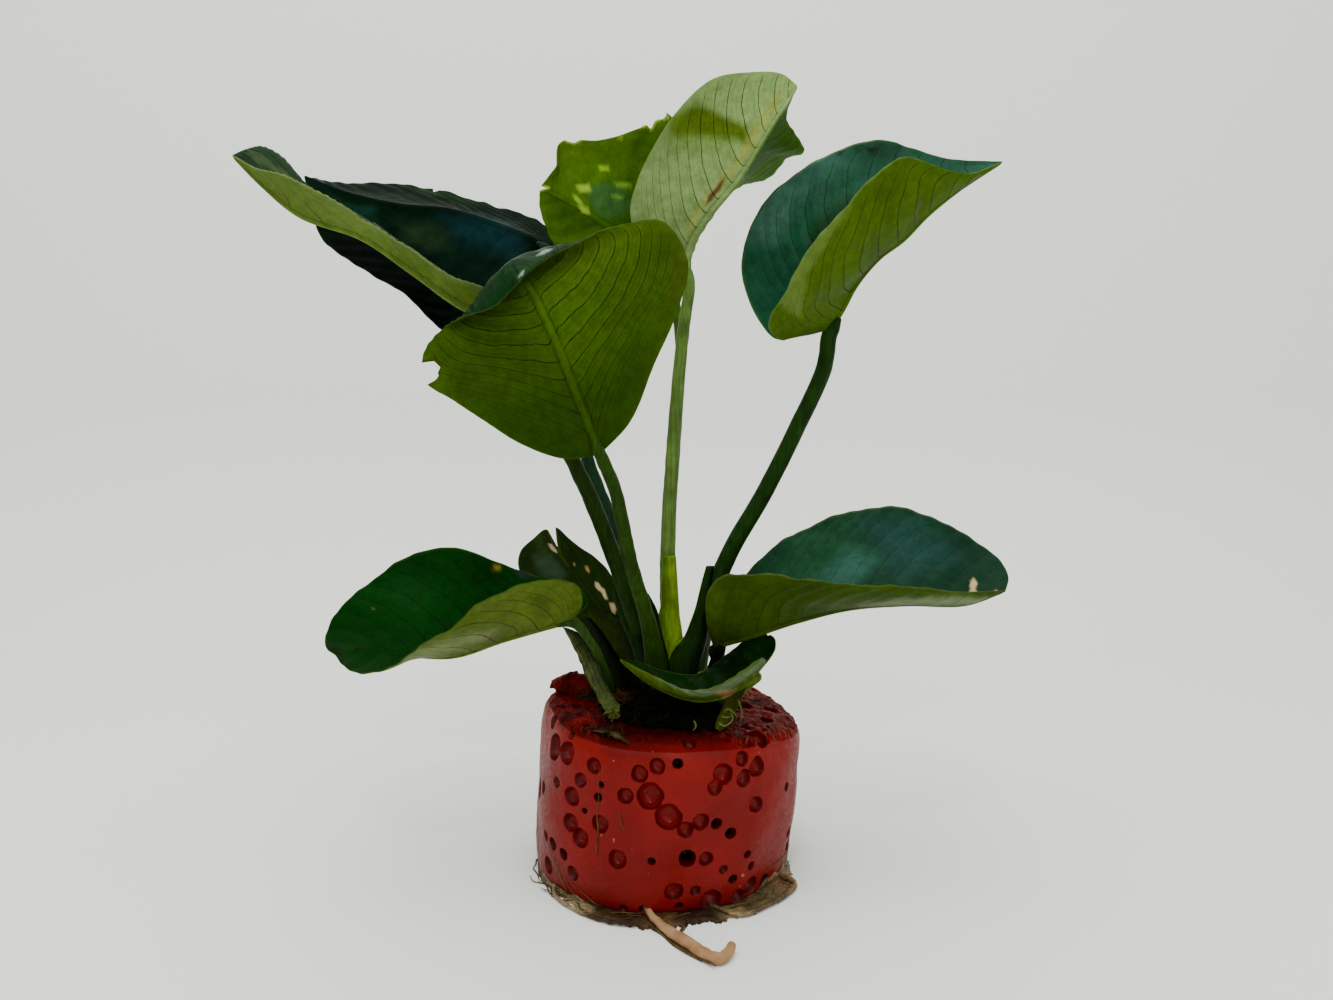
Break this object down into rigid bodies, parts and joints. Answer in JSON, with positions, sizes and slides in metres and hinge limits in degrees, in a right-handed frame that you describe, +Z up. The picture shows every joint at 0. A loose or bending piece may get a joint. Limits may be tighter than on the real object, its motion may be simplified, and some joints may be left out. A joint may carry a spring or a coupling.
{
  "type": "anubias on stone",
  "caption": "Broad-leaved aquarium plant on a short porous red stone: pointed leaves on long stalks rise from a creeping stem, with thin roots at the stone's foot.",
  "frame": {"origin": "centre of the stone's flat bottom, which is the rest_face mount", "axes": "+Z up; the picture's front is towards -Y and its right is +X"},
  "size_m": [0.1826, 0.0946, 0.1996],
  "materials": {
    "stone": "porous dull red with a satin wet glaze",
    "leaf": "leathery satin green, glossier on the upper face",
    "stalk": "smooth satin green",
    "rhizome": "dark olive brown, ringed and matt",
    "withered": "withered olive, fibrous and matt",
    "root": "tan, thin and slightly translucent"
  },
  "bodies": {
    "root": {"stone": "stone", "rhizome": "rhizome", "leaf_front": "leaf", "leaf_left_near": "leaf", "leaf_left_back": "leaf", "leaf_top_front": "leaf", "leaf_top_back": "leaf", "leaf_right": "leaf", "leaf_low_left": "leaf", "leaf_split": "leaf", "leaf_low_right": "leaf", "leaf_small": "leaf", "stalk_front": "stalk", "stalk_left_near": "stalk", "stalk_left_back": "stalk", "stalk_top_front": "stalk", "stalk_top_back": "stalk", "stalk_right": "stalk", "stalk_low_left": "stalk", "stalk_split": "stalk", "stalk_low_right": "stalk", "stalk_small": "stalk", "old_stalk": "withered", "root_front": "root", "root_right": "root", "root_left": "root", "root_back": "root"}
  },
  "joints": []
}
